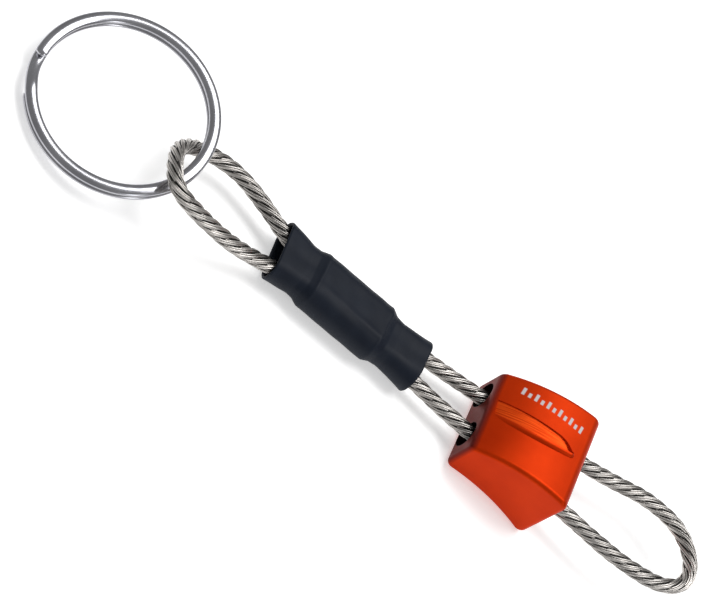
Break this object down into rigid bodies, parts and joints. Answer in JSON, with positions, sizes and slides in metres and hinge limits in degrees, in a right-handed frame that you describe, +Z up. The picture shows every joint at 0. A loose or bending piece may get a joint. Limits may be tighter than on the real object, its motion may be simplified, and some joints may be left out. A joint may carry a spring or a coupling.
{
  "type": "climbing nut key fob",
  "caption": "Key fob made as a miniature climbing nut: curved wedge on a looped wire rope with shrink sleeve and split key ring.",
  "frame": {"origin": "on the surface the fob lies on, under the middle of its footprint", "axes": "+X along the fob from the key ring towards the large bight, +Z up from the surface, +Y to the left when looking along +X"},
  "size_m": [0.1301, 0.0294, 0.0121],
  "materials": {
    "ring_steel": "polished, bright plating; the plating is assumed",
    "rope_steel": "bright steel wire, drawn as seven strands; the number of strands and wires is assumed",
    "ferrule_aluminium": "swaged, plain",
    "sleeve_plastic": "black heat-shrink tube, satin",
    "nut_anodised": "bead-blasted and anodised orange"
  },
  "bodies": {
    "sling": {"wire_rope": "rope_steel", "ferrule": "ferrule_aluminium", "shrink_sleeve": "sleeve_plastic"},
    "nut": {"nut": "nut_anodised"},
    "key_ring": {"split_ring": "ring_steel"}
  },
  "joints": [
    {"name": "nut_slide", "type": "slide", "parent": "sling", "child": "nut", "axis": [0.9962, 0, 0.0876], "range_m": [-0.004, 0.003]},
    {"name": "ring_swing", "type": "hinge", "parent": "sling", "child": "key_ring", "pos_m": [-0.03851, -0.00681, 0.00582], "axis": [0.463, 0.8556, 0.2315], "range_deg": [0, 170]}
  ]
}
